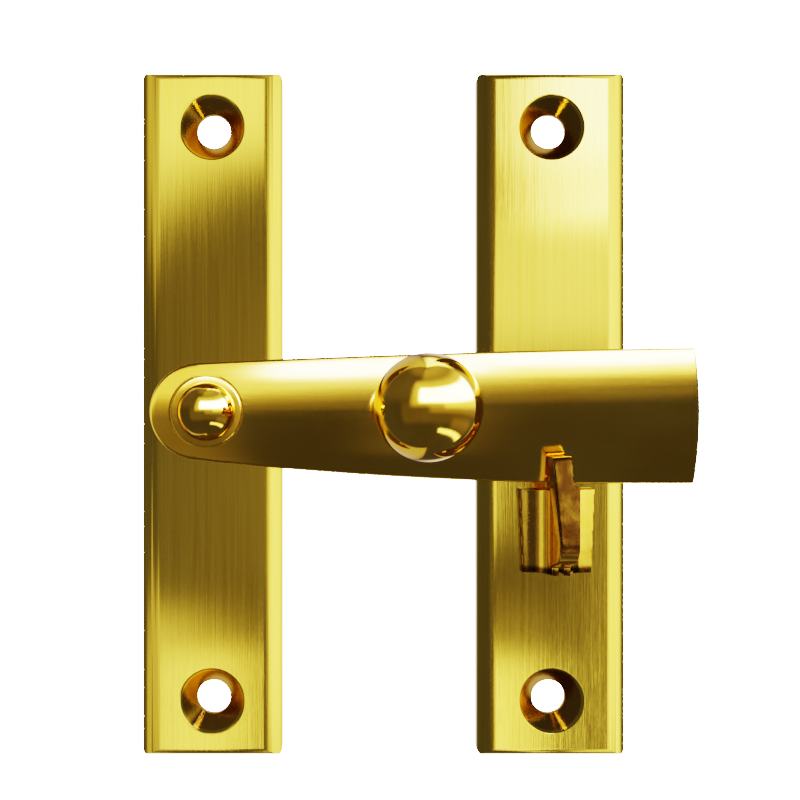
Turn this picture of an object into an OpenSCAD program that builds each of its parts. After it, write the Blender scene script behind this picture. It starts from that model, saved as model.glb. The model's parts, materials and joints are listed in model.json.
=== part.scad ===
// Brass throw-over latch: a tapered bar pivots on one plate and drops into a hook on the other.
// Front faces -Y, +X runs along the latched bar, +Z is up.
// The origin is the middle of the pivot plate's back face.

/* [Plates] */
// Height of both plates
plate_h = 100; // [60:0.5:160]
// Width of the pivot plate
pivot_plate_w = 20.5; // [17:0.1:40]
// Width of the keeper plate
keeper_plate_w = 21.6; // [17:0.1:40]
// Thickness of both plates
plate_t = 3; // [2.5:0.1:6]
// Distance between the middles of the two plates
plate_centres = 49.7; // [40:0.1:90]
// Radius of the plates' corners, seen from the front
corner_r = 0.7; // [0.3:0.1:3]
// How far the rolled long edges reach in over the front
roll_run = 2.8; // [0.5:0.1:3.5]
// How far the rolled long edges fall away at the side
roll_drop = 0.9; // [0.2:0.1:1.4]
// How far the rounded top and bottom edges reach in over the front
end_run = 1.1; // [0.4:0.1:3]
// How far the rounded top and bottom edges fall away
end_drop = 0.7; // [0.2:0.1:1.4]

/* [Screw holes] */
// Distance of each screw hole from the end of its plate
screw_inset = 8; // [6:0.1:16]
// Diameter of the screw holes
screw_d = 4.9; // [3:0.1:6]
// Diameter of the countersinks at the front
sink_d = 9.5; // [6:0.1:11]
// Included angle of the countersinks
sink_angle = 90; // [82:1:120]

/* [Pivot] */
// Height of the pivot above the middle of the plate
pivot_z = 0.4; // [-5:0.1:5]
// Diameter of the pivot's shoulder, which the bar turns on
shoulder_d = 6; // [4:0.1:7]
// Radial clearance between the shoulder and the bar
running_fit = 0.05; // [0.02:0.01:0.1]
// Diameter of the pivot's shank in the plate
shank_d = 4.6; // [3:0.1:5.5]
// Diameter of the riveted tail at the plate's back
tail_d = 7.2; // [5.8:0.1:10]
// Depth of the riveted tail
tail_h = 1.3; // [0.6:0.1:2]
// Diameter of the domed head
dome_d = 8.2; // [7.4:0.1:10]
// Height of the domed head
dome_h = 3.3; // [1.5:0.1:4.1]
// Diameter of the washer under the head
head_washer_d = 9.9; // [8.8:0.1:12]
// Thickness of the washer under the head
head_washer_t = 0.7; // [0.4:0.1:1.5]
// Diameter of the spacing washer on the plate
spacer_d = 12; // [9:0.1:13]
// Thickness of the spacing washer
spacer_t = 1.2; // [0.6:0.1:3]
// Diameter of the curved spring washer
spring_d = 10.6; // [8.5:0.1:12]
// Thickness of the spring washer's metal
spring_t = 0.3; // [0.2:0.05:0.4]
// Height of the curved spring washer as fitted
spring_h = 0.6; // [0.5:0.05:1]
// Play between the bar and the washers it turns against
side_play = 0.05; // [0.02:0.01:0.1]

/* [Bar] */
// Distance from the pivot to the bar's square free end
bar_reach = 69; // [66:0.5:100]
// Thickness of the bar at the crown
bar_t = 4.6; // [3.5:0.1:8]
// Radius of the crown across the bar's front
crown_r = 25; // [18:1:60]
// Radius of the bar's rounded end
bar_end_r = 6.85; // [6:0.05:9]
// How far behind the pivot the rounded end is centred
bar_end_back = 1.1; // [0:0.1:3]
// Highest level of the bar's upper edge above the pivot
top_rise = 9.15; // [9.1:0.05:14]
// Distance from the pivot at which the upper edge would run level
top_level_x = 91; // [70:1:140]
// Lowest level of the bar's lower edge below the pivot
bottom_drop = 10.25; // [9.1:0.05:15]
// Distance from the pivot at which the lower edge runs level
bottom_level_x = 60; // [40:1:66]
// Diameter of the flat seat cut in the crown for the head washer
seat_d = 10.5; // [9.4:0.1:12.5]
// Depth of the flat seats below the crown
seat_depth = 0.5; // [0.3:0.1:1.2]

/* [Knob] */
// Distance of the knob from the pivot
knob_x = 30.3; // [22:0.1:36]
// Height of the knob above the pivot
knob_z = 0.55; // [-2:0.05:2]
// Diameter of the ball
ball_d = 14.5; // [10:0.1:18]
// Diameter of the knob's foot
foot_d = 8; // [6.5:0.1:9.5]
// Height of the foot between the bar and the ball
foot_h = 1.1; // [0.6:0.1:3]
// Radial gap between the foot and its seat in the bar
foot_gap = 0.2; // [0.1:0.05:0.5]
// Diameter of the knob screw's shank
knob_screw_d = 4; // [3:0.1:5]
// Diameter of the knob screw's countersunk head
knob_screw_head_d = 7.4; // [6.2:0.1:9]
// How far the knob screw reaches into the ball
knob_screw_grip = 8; // [4:0.1:9]
// Width of the knob screw's slot
slot_w = 1; // [0.6:0.1:1.4]
// Depth of the knob screw's slot
slot_depth = 0.9; // [0.4:0.1:1.2]

/* [Hook] */
// How far the hook stands to the right of the plate's middle
hook_shift = 0.5; // [-3:0.1:3]
// Width of the hook's base at its top
base_top_w = 11; // [9:0.1:16]
// Width of the hook's base at its bottom
base_bottom_w = 10; // [9:0.1:16]
// Height of the hook's base
base_h = 12.2; // [10:0.1:18]
// Thickness of the base at its side edges
base_t = 1.2; // [0.8:0.1:2]
// Radius of the hollow between the base and the web
hollow_r = 2.8; // [1:0.1:3]
// Thickness of the web and the finger
web_t = 2.7; // [2.2:0.1:4]
// Depth of the web below the shelf that carries the bar, at the plate
web_drop = 13.1; // [11.5:0.1:20]
// Slope of the web's underside in degrees
web_slope = 17; // [0:1:25]
// Radius of the web's lower front curve
web_curve_r = 3; // [1:0.1:5]
// Clearance between the bar's lowest edge and the shelf
rest_gap = 0.05; // [0.02:0.01:0.2]
// Clearance between the bar's crown and the finger
finger_gap = 0.5; // [0.3:0.1:2]
// Thickness of the finger from front to back
finger_t = 3.2; // [2:0.1:5]
// How far the finger rises above the shelf
finger_rise = 4.2; // [2.5:0.1:7]
// Sideways lean of the finger in degrees
finger_lean = 5.5; // [0:0.5:8]
// Radius of the finger's tip
tip_r = 0.8; // [0.3:0.1:0.9]
// Radius in the throat between the shelf and the finger
throat_r = 0.5; // [0.2:0.1:0.9]
// Diameter of the rivets that hold the hook
rivet_d = 2.4; // [1.8:0.1:2.6]
// Diameter of the rivets' countersunk heads
rivet_head_d = 4.6; // [3.4:0.1:5.4]
// How far the rivets reach into the hook's base
rivet_grip = 2.4; // [1.5:0.1:2.8]
// Distance between the two rivets
rivet_pitch = 6.4; // [5.8:0.1:7.5]

/* [Hidden] */

polished_brass = [0.80, 0.66, 0.22];
satin_brass = [0.74, 0.63, 0.22];
old_brass = [0.62, 0.47, 0.15];
spring_bronze = [0.60, 0.42, 0.22];

$fn = 96;
// Segments of the arcs that are hundreds of millimetres in radius
long_arc_fn = 1440;
// How far a cut runs past the face it opens
past = 1;

// Heights above the mounting plane
spring_z = plate_t + spacer_t;
bar_back = spring_z + spring_h;
bar_front = bar_back + bar_t;
seat_z = bar_front - seat_depth;
head_washer_z = seat_z + side_play;
dome_z = head_washer_z + head_washer_t;
ball_z = bar_front + foot_h + sqrt(pow(ball_d / 2, 2) - pow(foot_d / 2, 2));

// Arc radii that make the bar's long edges tangent to its rounded end
top_r = edge_radius(top_level_x, top_rise);
bottom_r = edge_radius(bottom_level_x, bottom_drop);

// The hook, measured from the shelf that the bar drops on
hook_x = plate_centres + hook_shift;
shelf_z = pivot_z - bottom_drop - rest_gap;
overlap_z = finger_rise - rest_gap;
crown_fall = crown_r - sqrt(pow(crown_r, 2) - pow(bottom_drop - overlap_z, 2));
finger_back = bar_front - crown_fall + finger_gap;
finger_front = finger_back + finger_t;
hook_depth = finger_front - plate_t;
curve_z = hook_depth - web_curve_r;
curve_drop = web_drop - curve_z * tan(web_slope) - web_curve_r / cos(web_slope);
base_top_z = shelf_z - web_drop + base_h;
rivet_mid_z = shelf_z - web_drop + base_h / 2;

function edge_radius(level_x, rise) =
    (pow(level_x + bar_end_back, 2) + pow(rise, 2) - pow(bar_end_r, 2)) / (2 * (rise - bar_end_r));

function roll_radius(run, drop) = (pow(run, 2) + pow(drop, 2)) / (2 * drop);

// Turns a piece drawn flat, with its front up, to stand with its front facing -Y
module stand() {
    rotate([90, 0, 0]) children();
}

// A rectangle about the origin with rounded corners
module round_rectangle(w, h, r) {
    square([w, h - 2 * r], center = true);
    square([w - 2 * r, h], center = true);
    for (x = [-1, 1], y = [-1, 1]) {
        translate([x * (w / 2 - r), y * (h / 2 - r)]) circle(r = r);
    }
}

// A bar section of width w and thickness t, whose front falls away by drop over run at both sides
module rolled_section(w, t, run, drop) {
    r = roll_radius(run, drop);
    translate([run - w / 2, 0]) square([w - 2 * run, t]);
    for (side = [0, 1]) {
        mirror([side, 0]) intersection() {
            translate([w / 2 - run, 0]) square([run, t]);
            translate([w / 2 - run, t - r]) circle(r = r);
        }
    }
}

// A through hole with a conical sink that opens upward at height top
module sunk_hole(d, mouth_d, angle, top) {
    depth = (mouth_d - d) / 2 / tan(angle / 2);
    flare = past * tan(angle / 2);
    translate([0, 0, -past]) cylinder(d = d, h = top + 2 * past);
    translate([0, 0, top - depth]) cylinder(d1 = d, d2 = mouth_d + 2 * flare, h = depth + past);
}

// A solid countersunk form: a cone that closes from mouth_d at z = 0 to d at z = depth
module sunk_form(d, mouth_d, depth) {
    cylinder(d1 = mouth_d, d2 = d, h = depth);
}

// Where each plate's two screws go
module at_screws() {
    for (side = [-1, 1]) {
        translate([0, side * (plate_h / 2 - screw_inset), 0]) children();
    }
}

// A plate with rounded corners, rolled long edges and rounded ends, drilled for its screws
module blank_plate(w) {
    difference() {
        intersection() {
            linear_extrude(plate_t) round_rectangle(w, plate_h, corner_r);
            translate([0, plate_h / 2 + past, 0]) rotate([90, 0, 0])
                linear_extrude(plate_h + 2 * past) rolled_section(w, plate_t, roll_run, roll_drop);
            translate([-w / 2 - past, 0, 0]) rotate([90, 0, 90])
                linear_extrude(w + 2 * past) rolled_section(plate_h, plate_t, end_run, end_drop);
        }
        at_screws() sunk_hole(screw_d, sink_d, sink_angle, plate_t);
    }
}

module pivot_plate() {
    color(satin_brass) stand() difference() {
        blank_plate(pivot_plate_w);
        translate([0, pivot_z, 0]) {
            translate([0, 0, -past]) cylinder(d = shank_d, h = plate_t + 2 * past);
            sunk_form(shank_d, tail_d, tail_h);
        }
    }
}

// The fixed pin: riveted tail, shank, shoulder and domed head, turned in one piece
module pivot_pin() {
    dome_r = roll_radius(dome_d / 2, dome_h);
    color(polished_brass) stand() translate([0, pivot_z, 0]) {
        cylinder(d = shank_d, h = plate_t + past);
        sunk_form(shank_d, tail_d, tail_h);
        translate([0, 0, plate_t]) cylinder(d = shoulder_d, h = dome_z - plate_t);
        intersection() {
            translate([0, 0, dome_z]) cylinder(d = dome_d, h = dome_h + past);
            translate([0, 0, dome_z + dome_h - dome_r]) sphere(r = dome_r);
        }
    }
}

module washer(outer_d, inner_d, t, z) {
    translate([0, pivot_z, z]) difference() {
        cylinder(d = outer_d, h = t);
        translate([0, 0, -past]) cylinder(d = inner_d, h = t + 2 * past);
    }
}

module head_washer() {
    color(polished_brass) stand()
        washer(head_washer_d, shoulder_d + 2 * running_fit, head_washer_t, head_washer_z);
}

module spacer_washer() {
    color(old_brass) stand()
        washer(spacer_d, shoulder_d + 2 * running_fit, spacer_t, plate_t);
}

// A washer cut from a curved shell, bowed about an axis along the bar
module spring_washer() {
    bow = spring_h - spring_t - side_play;
    shell_r = roll_radius(spring_d / 2, bow);
    crest_z = bar_back - side_play;
    color(spring_bronze) stand() intersection() {
        washer(spring_d, shoulder_d + 4 * running_fit, spring_h, spring_z);
        translate([0, pivot_z, crest_z - shell_r]) rotate([0, 90, 0]) difference() {
            cylinder(r = shell_r, h = spring_d + past, center = true, $fn = long_arc_fn);
            cylinder(r = shell_r - spring_t, h = spring_d + 2 * past, center = true, $fn = long_arc_fn);
        }
    }
}

// The half of the bar's outline above the pivot line, under one long arc, running past the free end
module half_outline(level_x, rise, r) {
    lean = (level_x + bar_end_back) / (r - bar_end_r);
    start = -bar_end_back - bar_end_r * lean;
    beyond = bar_reach + past;
    intersection() {
        translate([start, 0]) square([min(level_x, beyond) - start, rise]);
        translate([level_x, rise - r]) circle(r = r, $fn = long_arc_fn);
    }
    if (level_x < beyond) {
        translate([level_x, 0]) square([beyond - level_x, rise]);
    }
}

module bar_outline() {
    translate([-bar_end_back, 0]) circle(r = bar_end_r);
    half_outline(top_level_x, top_rise, top_r);
    mirror([0, 1]) half_outline(bottom_level_x, bottom_drop, bottom_r);
}

// A tapered bar with a crowned front, bored for the pivot and seated for the washer and the knob
module latch_bar() {
    back = bar_end_r + bar_end_back + past;
    color(polished_brass) stand() translate([0, pivot_z, 0]) difference() {
        intersection() {
            translate([0, 0, bar_back]) linear_extrude(bar_t) bar_outline();
            translate([-back, 0, bar_front - crown_r]) rotate([0, 90, 0])
                cylinder(r = crown_r, h = back + bar_reach, $fn = 4 * $fn);
        }
        translate([0, 0, bar_back - past]) cylinder(r = shoulder_d / 2 + running_fit, h = bar_t + 2 * past);
        translate([0, 0, seat_z]) cylinder(d = seat_d, h = seat_depth + past);
        translate([knob_x, knob_z, 0]) {
            translate([0, 0, bar_back - past]) cylinder(d = knob_screw_d, h = bar_t + 2 * past);
            translate([0, 0, bar_back]) sunk_form(knob_screw_d, knob_screw_head_d, knob_head_h());
            translate([0, 0, seat_z]) cylinder(r = foot_d / 2 + foot_gap, h = seat_depth + past);
        }
    }
}

function knob_head_h() = (knob_screw_head_d - knob_screw_d) / 2;

// A ball on a short foot, bored from behind for its screw
module knob_ball() {
    bore_top = bar_front + foot_h + knob_screw_grip;
    color(polished_brass) stand() translate([knob_x, pivot_z + knob_z, 0]) difference() {
        union() {
            translate([0, 0, ball_z]) sphere(d = ball_d);
            translate([0, 0, seat_z]) cylinder(d = foot_d, h = ball_z - seat_z);
        }
        translate([0, 0, seat_z - past]) cylinder(d = knob_screw_d, h = bore_top - seat_z + past);
    }
}

module knob_screw() {
    color(old_brass) stand() translate([knob_x, pivot_z + knob_z, bar_back]) difference() {
        union() {
            sunk_form(knob_screw_d, knob_screw_head_d, knob_head_h());
            cylinder(d = knob_screw_d, h = bar_t + foot_h + knob_screw_grip);
        }
        translate([-knob_screw_head_d, -slot_w / 2, -past])
            cube([2 * knob_screw_head_d, slot_w, slot_depth + past]);
    }
}

// Where the two rivets of the hook go
module at_rivets() {
    for (side = [-1, 1]) {
        translate([0, rivet_mid_z + side * rivet_pitch / 2, 0]) children();
    }
}

module keeper_plate() {
    color(satin_brass) stand() translate([plate_centres, 0, 0]) difference() {
        blank_plate(keeper_plate_w);
        translate([hook_shift, 0, 0]) at_rivets() {
            translate([0, 0, -past]) cylinder(d = rivet_d, h = plate_t + 2 * past);
            sunk_form(rivet_d, rivet_head_d, rivet_head_h());
        }
    }
}

function rivet_head_h() = (rivet_head_d - rivet_d) / 2;

module hook_rivets() {
    color(old_brass) stand() translate([hook_x, 0, 0]) at_rivets() {
        cylinder(d = rivet_d, h = plate_t + rivet_grip);
        sunk_form(rivet_d, rivet_head_d, rivet_head_h());
    }
}

// Section of the base and the foot of the web, with a hollow on each side
module base_section() {
    w = max(base_top_w, base_bottom_w);
    translate([-w / 2, 0]) square([w, base_t]);
    for (side = [0, 1]) {
        mirror([side, 0]) translate([web_t / 2 - past, base_t]) difference() {
            square([hollow_r + past, hollow_r]);
            translate([hollow_r + past, hollow_r]) circle(r = hollow_r);
        }
    }
}

// Front outline of the base: a little narrower at the bottom
module base_outline() {
    bottom = shelf_z - web_drop;
    polygon([[-base_bottom_w / 2, bottom], [base_bottom_w / 2, bottom],
             [base_top_w / 2, base_top_z], [-base_top_w / 2, base_top_z]]);
}

// Side view of the web below the shelf: height across, distance from the plate up
module web_side() {
    slope_run = web_curve_r * cos(web_slope);
    slope_rise = web_curve_r * sin(web_slope);
    polygon([[-web_drop, 0], [0, 0], [0, hook_depth], [-curve_drop, hook_depth],
             [-curve_drop - slope_run, curve_z + slope_rise]]);
    translate([-curve_drop, curve_z]) circle(r = web_curve_r);
}

// Side view of the finger from where it starts to lean, with a rounded tip and the throat's corner filled
module finger_side() {
    translate([-curve_drop, 0]) square([curve_drop + finger_rise - tip_r, finger_t]);
    translate([0, tip_r]) square([finger_rise, finger_t - 2 * tip_r]);
    for (z = [tip_r, finger_t - tip_r]) {
        translate([finger_rise - tip_r, z]) circle(r = tip_r);
    }
    difference() {
        translate([-throat_r, -throat_r]) square([2 * throat_r, throat_r]);
        translate([throat_r, -throat_r]) circle(r = throat_r);
    }
}

// Draws a side view as a slab of the web's thickness, centred on the hook
module slab() {
    translate([-web_t / 2, 0, 0]) rotate([90, 0, 90]) linear_extrude(web_t) children();
}

// A cast hook: hollow-sided base, web with a shelf on top, and a leaning finger in front of the bar
module keeper_hook() {
    color(polished_brass) stand() translate([hook_x, 0, 0]) difference() {
        union() {
            translate([0, 0, plate_t]) intersection() {
                translate([0, base_top_z, 0]) rotate([90, 0, 0]) linear_extrude(base_h) base_section();
                linear_extrude(base_t + hollow_r + past) base_outline();
            }
            translate([0, shelf_z, plate_t]) slab() web_side();
            translate([0, shelf_z - curve_drop, finger_back]) rotate([0, 0, finger_lean])
                translate([0, curve_drop, 0]) slab() finger_side();
        }
        at_rivets() cylinder(d = rivet_d, h = plate_t + rivet_grip);
    }
}

pivot_plate();
pivot_pin();
head_washer();
spacer_washer();
spring_washer();
latch_bar();
knob_ball();
knob_screw();
keeper_plate();
keeper_hook();
hook_rivets();
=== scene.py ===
"""A brass throw-over latch: two screw plates, a crowned bar that swings on a domed pin, and a cast hook.

The model is in metres. The latch faces -Y, +X runs along the latched bar and +Z is up.
"""

import json
import math
from contextlib import contextmanager

import bmesh
import bpy
from bpy.props import FloatProperty, FloatVectorProperty, IntProperty, PointerProperty
from bpy.types import Operator, Panel, PropertyGroup
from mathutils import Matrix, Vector

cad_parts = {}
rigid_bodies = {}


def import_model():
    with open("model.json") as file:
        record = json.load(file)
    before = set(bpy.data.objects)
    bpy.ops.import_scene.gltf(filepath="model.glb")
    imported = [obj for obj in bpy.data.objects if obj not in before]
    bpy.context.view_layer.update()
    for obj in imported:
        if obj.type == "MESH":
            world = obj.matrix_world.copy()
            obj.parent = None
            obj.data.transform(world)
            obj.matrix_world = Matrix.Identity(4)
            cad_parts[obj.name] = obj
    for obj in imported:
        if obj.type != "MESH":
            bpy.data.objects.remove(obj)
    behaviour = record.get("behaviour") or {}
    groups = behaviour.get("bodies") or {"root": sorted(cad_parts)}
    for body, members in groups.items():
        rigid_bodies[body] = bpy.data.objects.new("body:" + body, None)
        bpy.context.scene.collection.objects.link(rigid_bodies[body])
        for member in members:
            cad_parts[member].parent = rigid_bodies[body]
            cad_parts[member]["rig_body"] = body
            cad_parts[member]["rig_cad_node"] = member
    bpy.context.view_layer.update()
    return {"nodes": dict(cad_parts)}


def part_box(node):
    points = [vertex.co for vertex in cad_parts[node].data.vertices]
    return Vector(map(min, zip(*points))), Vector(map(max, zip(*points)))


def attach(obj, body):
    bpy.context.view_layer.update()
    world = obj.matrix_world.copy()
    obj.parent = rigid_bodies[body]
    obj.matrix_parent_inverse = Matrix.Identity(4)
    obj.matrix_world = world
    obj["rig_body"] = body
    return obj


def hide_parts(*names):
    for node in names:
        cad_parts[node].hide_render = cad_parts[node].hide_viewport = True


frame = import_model()

bl_info = {
    "name": "Throw-over latch",
    "version": (1, 0, 0),
    "blender": (4, 5, 0),
    "location": "3D View > Sidebar > Latch",
    "description": "Builds a brass throw-over latch piece by piece, with its finishes and a studio",
    "category": "Object",
}

# Places that every piece is built from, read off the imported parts
PIVOT_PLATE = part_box("pivot_plate")
KEEPER_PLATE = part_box("keeper_plate")
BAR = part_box("latch_bar")
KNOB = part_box("knob_ball")
HEAD_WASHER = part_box("head_washer")
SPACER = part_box("spacer_washer")
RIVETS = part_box("hook_rivets")

CLOSE = 1e-6
FULL_TURN = 2 * math.pi

# How finely the round forms are drawn
TURNED_STEPS = 96
CORNER_STEPS = 6
ROLL_STEPS = 12
END_ROLL_STEPS = 6
DOME_STEPS = 32
BALL_STEPS = 64
NECK_STEPS = 6
BAR_END_STEPS = 40
CROWN_STEPS = 1440
BAR_EDGE_STEPS = 4

# Angles between faces: where an edge is rounded, where shading stays smooth, and where faces count as flat
SHARP_EDGE = math.radians(40)
SMOOTH_SHADING = math.radians(35)
FLAT = math.radians(0.2)

DOME_LIP_ANGLE = 0.03

# Where painted shade browns the plates: in the countersinks, clear of both faces, between these heights
SINK_BELOW_FRONT = (0.0002, 0.0005)
SINK_ABOVE_BACK = (0.0002, 0.0001)
SINK_HEIGHTS = (0.036, 0.0478)
SINK_SOFT = 0.0004

# Where the hook is darkened with painted shade, each from unshaded to shaded: the finger's front, its root, the side
# hollow and the underside
FINGER_FRONT = (-0.0116, -0.0122)
FINGER_ROOT = (-0.0212, -0.0196)
HOLLOW_SIDE = (0.0486, 0.0472)
UNDERSIDE = (-0.0217, -0.0224)


def length(name, text, default):
    """A property that holds a size in metres."""
    return FloatProperty(name=name, description=text, default=default, min=0, subtype="DISTANCE", unit="LENGTH")


def brass_colour(name, text, default):
    """A property that holds the colour of a metal."""
    return FloatVectorProperty(name=name, description=text, default=default, min=0, max=1, size=3, subtype="COLOR")


class LatchPlateSizes(PropertyGroup):
    """Shape of the two screw plates"""

    corner: length("Corner radius", "Radius of the corners, seen from the front", 0.0007)
    roll_run: length("Roll width", "How far the rolled long edges reach in over the front", 0.0028)
    roll_drop: length("Roll drop", "How far the rolled long edges fall away at the side", 0.0009)
    end_run: length("End roll width", "How far the top and bottom edges reach in over the front", 0.0011)
    end_drop: length("End roll drop", "How far the top and bottom edges fall away", 0.0007)
    screw_inset: length("Screw inset", "Distance of each screw hole from the end of its plate", 0.008)
    screw_hole: length("Screw hole", "Diameter of the screw holes", 0.0049)
    sink: length("Countersink", "Diameter of the countersinks at the front", 0.0095)
    sink_lip: length("Countersink lip", "Rounding of the countersinks' rims", 0.0003)


class LatchPivotSizes(PropertyGroup):
    """Shape of the pin and its washers"""

    shank: length("Shank", "Diameter of the pin in the plate", 0.0046)
    tail: length("Tail", "Diameter of the riveted tail at the plate's back", 0.0072)
    tail_depth: length("Tail depth", "Depth of the riveted tail", 0.0013)
    shoulder: length("Shoulder", "Diameter of the shoulder that the bar turns on", 0.006)
    dome: length("Dome", "Diameter of the domed head", 0.0082)
    dome_height: length("Dome height", "Height of the domed head", 0.0033)
    bore_fit: length("Bore fit", "Radial clearance round the shoulder", 0.00005)
    edge: length("Edge rounding", "Rounding of the washers' edges", 0.00018)


class LatchBarSizes(PropertyGroup):
    """Shape of the swinging bar"""

    end_radius: length("End radius", "Radius of the rounded end", 0.00685)
    end_back: length("End centre", "How far behind the pivot the rounded end is centred", 0.0011)
    top_rise: length("Top rise", "Level of the upper edge above the pivot where it runs level", 0.00915)
    top_level: length("Top level place", "Distance from the pivot at which the upper edge would run level", 0.091)
    bottom_drop: length("Bottom drop", "Level of the lower edge below the pivot where it runs level", 0.01025)
    bottom_level: length("Bottom level place", "Distance from the pivot at which the lower edge runs level", 0.06)
    crown: length("Crown radius", "Radius of the crown across the front", 0.025)
    thickness: length("Thickness", "Thickness at the crown", 0.0046)
    seat: length("Washer seat", "Diameter of the flat seat under the head washer", 0.0105)
    seat_depth: length("Seat depth", "Depth of the flat seats below the crown", 0.0005)
    edge: length("Edge rounding", "Rounding of the bar's edges", 0.00034)
    rings: IntProperty(name="Rows", description="Rows of faces from the middle to an edge", default=8, min=4)
    stations: IntProperty(name="Stations", description="Columns of faces along the bar", default=36, min=8)


class LatchKnobSizes(PropertyGroup):
    """Shape of the knob and its screw"""

    foot: length("Foot", "Diameter of the knob's foot", 0.008)
    foot_height: length("Foot height", "Height of the foot between the bar and the ball", 0.0011)
    foot_gap: length("Foot gap", "Radial gap between the foot and its seat", 0.0002)
    neck: length("Neck rounding", "Rounding where the foot meets the ball", 0.0005)
    screw: length("Screw", "Diameter of the screw's shank", 0.004)
    screw_head: length("Screw head", "Diameter of the screw's countersunk head", 0.0074)
    screw_grip: length("Screw grip", "How far the screw reaches into the ball", 0.008)
    slot_width: length("Slot width", "Width of the screw's slot", 0.001)
    slot_depth: length("Slot depth", "Depth of the screw's slot", 0.0009)


class LatchHookSizes(PropertyGroup):
    """Finish of the cast hook and its rivets"""

    grain: length("Grain", "Size of the faces that the softened casting is made of", 0.00011)
    rubbing: IntProperty(name="Rubbing", description="How many times the casting's edges are rubbed down", default=10)
    edge: length("Edge rounding", "Rounding of the rivets' heads", 0.00011)
    rivet: length("Rivet", "Diameter of the rivets", 0.0024)
    rivet_head: length("Rivet head", "Diameter of the rivets' heads", 0.0046)


class LatchColours(PropertyGroup):
    """Colours of the metals"""

    brass: brass_colour("Brass", "Clean polished brass", (0.95, 0.58, 0.06))
    deep: brass_colour("Deep brass", "Brass where it has toned down", (0.84, 0.47, 0.04))
    satin: brass_colour("Satin brass", "Brushed brass", (0.95, 0.65, 0.08))
    satin_deep: brass_colour("Deep satin brass", "Brushed brass where it has toned down", (0.86, 0.54, 0.055))
    # Painted shade: a near-black brown laid over the hook's finger front and its underside
    toned: brass_colour("Toned brass", "Brass browned by handling on the hook's finger", (0.10, 0.042, 0.008))
    # Painted shade in the hook's side hollow
    shade: brass_colour("Shaded brass", "Brass darkened in the hook's hollow", (0.30, 0.17, 0.025))
    # Painted shade in the plates' countersinks
    sunk: brass_colour("Sunk brass", "Brass browned in the countersinks", (0.45, 0.22, 0.02))
    old: brass_colour("Old brass", "Dull unpolished brass", (0.55, 0.36, 0.07))
    bronze: brass_colour("Bronze", "Spring bronze", (0.62, 0.36, 0.14))


class LatchStudio(PropertyGroup):
    """The camera and the light"""

    distance: length("Camera distance", "Distance of the camera from the mounting surface", 0.143)
    camera_x: length("Camera place", "How far the camera stands to the right of the pivot", 0.018)
    camera_z: length("Camera height", "How far the camera stands above the plates' middle", 0.00075)
    lens: FloatProperty(name="Lens", description="Focal length in millimetres", default=43.06, min=1)
    shift_x: FloatProperty(name="Shift right", description="Camera shift to the right", default=0.08125)
    shift_y: FloatProperty(name="Shift up", description="Camera shift upward", default=0.01125)


# Selecting and editing


def make_only(obj):
    """Selects one object alone and makes it the active one."""
    bpy.ops.object.select_all(action="DESELECT")
    obj.select_set(True)
    bpy.context.view_layer.objects.active = obj


@contextmanager
def editing(obj):
    """Opens an object in edit mode with nothing selected, and leaves edit mode after."""
    make_only(obj)
    bpy.ops.object.mode_set(mode="EDIT")
    bpy.ops.mesh.select_all(action="DESELECT")
    yield
    bpy.ops.object.mode_set(mode="OBJECT")


def pick(obj, kind, test):
    """In edit mode, selects only the vertices, edges or faces that pass the test."""
    bpy.ops.mesh.select_mode(type=kind)
    bpy.ops.mesh.select_all(action="DESELECT")
    mesh = bmesh.from_edit_mesh(obj.data)
    elements = {"VERT": mesh.verts, "EDGE": mesh.edges, "FACE": mesh.faces}[kind]
    for element in elements:
        if test(element):
            element.select_set(True)
    mesh.select_flush_mode()
    bmesh.update_edit_mesh(obj.data)


def is_sharp(edge, angle):
    """True for an edge whose two faces meet at more than an angle."""
    return len(edge.link_faces) == 2 and edge.calc_face_angle(0) > angle


def apply_place(obj):
    """Puts an object at the origin, with its place in its mesh."""
    make_only(obj)
    bpy.ops.object.transform_apply(location=True, rotation=True, scale=True)


def apply_modifier(obj, kind, **settings):
    """Adds a modifier with its settings and applies it."""
    make_only(obj)
    modifier = obj.modifiers.new(kind.lower(), kind)
    for key, value in settings.items():
        setattr(modifier, key, value)
    bpy.ops.object.modifier_apply(modifier=modifier.name)


def cut(obj, cutter):
    """Cuts one closed shape out of another and removes the cutter."""
    apply_modifier(obj, "BOOLEAN", operation="DIFFERENCE", solver="EXACT", object=cutter)
    bpy.data.objects.remove(cutter)


def tidy_mesh(obj):
    """Merges doubled vertices and turns every face outward."""
    with editing(obj):
        bpy.ops.mesh.select_all(action="SELECT")
        bpy.ops.mesh.remove_doubles(threshold=CLOSE)
        bpy.ops.mesh.delete_loose(use_faces=False)
        bpy.ops.mesh.select_all(action="SELECT")
        bpy.ops.mesh.normals_make_consistent(inside=False)


def new_block(name, low, high):
    """A cube primitive stretched between two corners."""
    low, high = Vector(low), Vector(high)
    bpy.ops.mesh.primitive_cube_add(size=1, location=(low + high) / 2)
    obj = bpy.context.object
    obj.name = name
    obj.scale = high - low
    apply_place(obj)
    return obj


def new_point(name):
    """A mesh of one vertex at the origin."""
    bpy.ops.object.select_all(action="DESELECT")
    bpy.ops.mesh.primitive_plane_add(size=CLOSE)
    obj = bpy.context.object
    obj.name = name
    with editing(obj):
        bpy.ops.mesh.select_all(action="SELECT")
        bpy.ops.mesh.merge(type="CENTER")
    return obj


def axis_of(box):
    """Place of a turned part's axis, across and up."""
    low, high = box
    return (low.x + high.x) / 2, (low.z + high.z) / 2


# Outlines for turning, as (radius, height above the mounting surface) points


def roll_radius(run, drop):
    """Radius of an arc that starts level and falls by drop over run."""
    return (run**2 + drop**2) / (2 * drop)


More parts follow.
